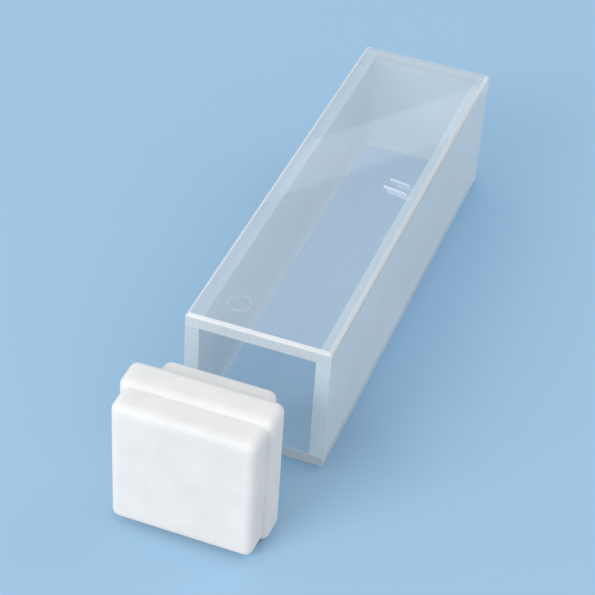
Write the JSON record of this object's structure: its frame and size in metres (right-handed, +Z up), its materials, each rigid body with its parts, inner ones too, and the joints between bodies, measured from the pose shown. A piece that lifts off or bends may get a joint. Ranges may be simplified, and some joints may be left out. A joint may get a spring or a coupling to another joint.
{
  "type": "cuvette",
  "caption": "Square glass sample cell with polished windows, frosted side walls and an open end, lying beside its white stopper lid; holds liquid in a light beam.",
  "frame": {"origin": "middle of the rear window's outer face, which is the face the cell lies on", "axes": "+X across the cell, +Y along its length from the open mouth to the closed end, +Z up along the light path from the rear window to the front window"},
  "size_m": [0.014, 0.0572, 0.0128],
  "materials": {
    "polished_glass": "clear polished optical window with a faint milky blue haze",
    "ground_glass": "frosted, milky, finely ground on the outside",
    "white_fluoropolymer": "waxy satin white with softly rounded machined edges"
  },
  "bodies": {
    "root": {"front_window": "polished_glass", "rear_window": "polished_glass", "left_side_wall": "ground_glass", "right_side_wall": "ground_glass", "base_plate": "ground_glass", "lid": "white_fluoropolymer"}
  },
  "joints": []
}
